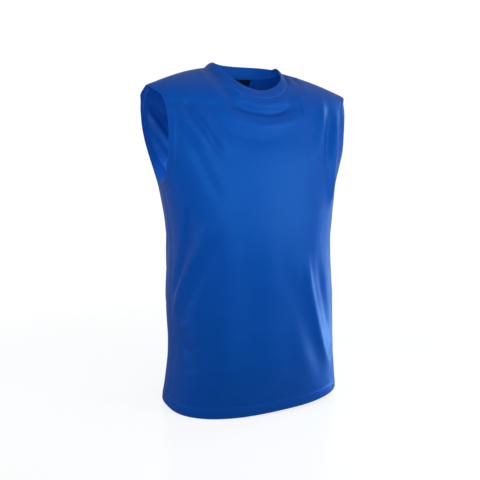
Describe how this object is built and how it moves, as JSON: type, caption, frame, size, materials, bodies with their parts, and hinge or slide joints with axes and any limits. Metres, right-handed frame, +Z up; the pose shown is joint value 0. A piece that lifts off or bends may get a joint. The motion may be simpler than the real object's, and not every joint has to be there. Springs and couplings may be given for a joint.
{
  "type": "sleeveless t-shirt",
  "caption": "Blue sleeveless crew-neck t-shirt in its worn shape with no wearer, with a banded neck, banded armholes, a turned hem and a blank neck label.",
  "frame": {"origin": "on the middle plane of the garment, at the height where a wearer's shoulders or a hanger carry it, 4 mm below the points where the shoulder seams meet the neckband", "axes": "+Z up along the body, +X towards the wearer's left, -Y towards the front of the garment"},
  "size_m": [0.4763, 0.2811, 0.7296],
  "materials": {
    "front_cloth": "soft matt knit",
    "back_cloth": "soft matt knit",
    "neckband_cloth": "doubled knit, matt",
    "right_armhole_cloth": "doubled knit, matt",
    "left_armhole_cloth": "doubled knit, matt",
    "label_cloth": "plain woven label, matt"
  },
  "bodies": {
    "root": {"front_panel": "front_cloth", "back_panel": "back_cloth", "neckband": "neckband_cloth", "armhole_band_right": "right_armhole_cloth", "armhole_band_left": "left_armhole_cloth", "neck_label": "label_cloth"}
  },
  "joints": []
}
